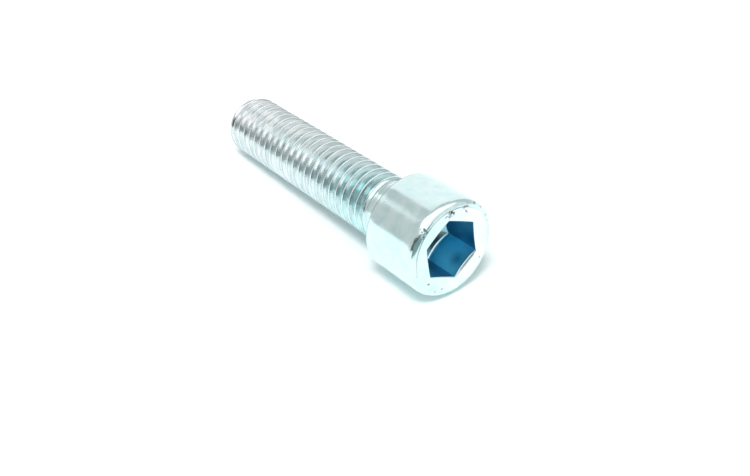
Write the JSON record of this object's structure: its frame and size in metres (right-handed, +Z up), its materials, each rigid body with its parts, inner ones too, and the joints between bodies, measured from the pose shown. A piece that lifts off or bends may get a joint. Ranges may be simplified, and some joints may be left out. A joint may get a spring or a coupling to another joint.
{
  "type": "socket head cap screw",
  "caption": "Zinc-plated socket head cap screw with a plain cylindrical head, hexagon socket and a right-hand thread up to the neck.",
  "frame": {"origin": "centre of the screw's outline on the surface that it lies on", "axes": "+X towards the head along the surface, +Z up; the screw's own axis rises by about 3.3 degrees towards the head"},
  "size_m": [0.0512, 0.014, 0.0145],
  "materials": {
    "zinc_plate": "bright zinc plating with a pale blue passivated tint"
  },
  "bodies": {
    "root": {"screw": "zinc_plate"}
  },
  "joints": []
}
